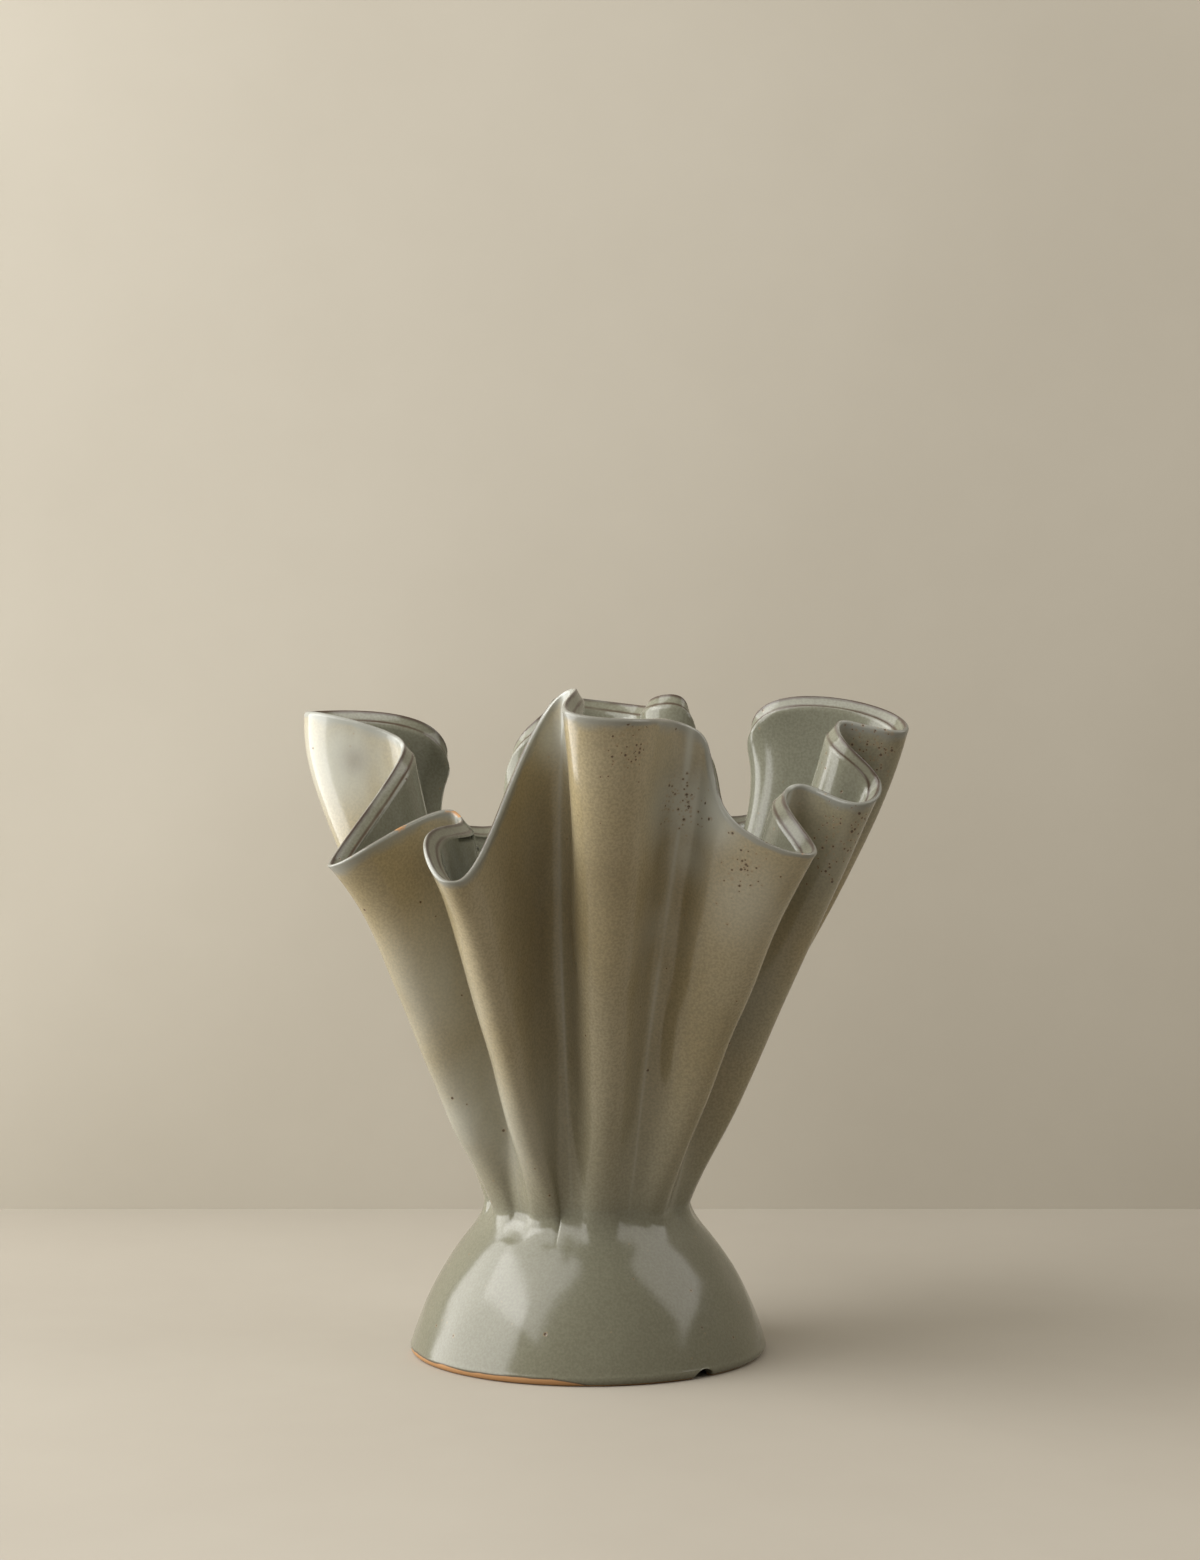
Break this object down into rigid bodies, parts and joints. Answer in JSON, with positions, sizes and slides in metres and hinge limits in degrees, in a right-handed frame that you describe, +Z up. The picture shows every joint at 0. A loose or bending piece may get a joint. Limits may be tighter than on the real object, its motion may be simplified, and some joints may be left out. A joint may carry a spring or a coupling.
{
  "type": "fan vase",
  "caption": "Glazed stoneware fan vase: a deeply pleated, ruffled bowl with an undulating bevelled rim on a hollow flared foot; holds cut flowers or branches",
  "frame": {"origin": "on the table, under the middle of the vase's outline", "axes": "+Z up out of the mouth, -Y to the front, which has the tallest front fold, +X to the right seen from the front"},
  "size_m": [0.2806, 0.2756, 0.3057],
  "materials": {
    "glaze": "glossy grey-green glaze, brown where it breaks over the rim",
    "slip": "matt fired slip",
    "foot_glaze": "glossy grey-green glaze, bare clay at the lower edge"
  },
  "bodies": {
    "root": {"pleated_bowl": "glaze", "slip_joint": "slip", "flared_foot": "foot_glaze"}
  },
  "joints": []
}
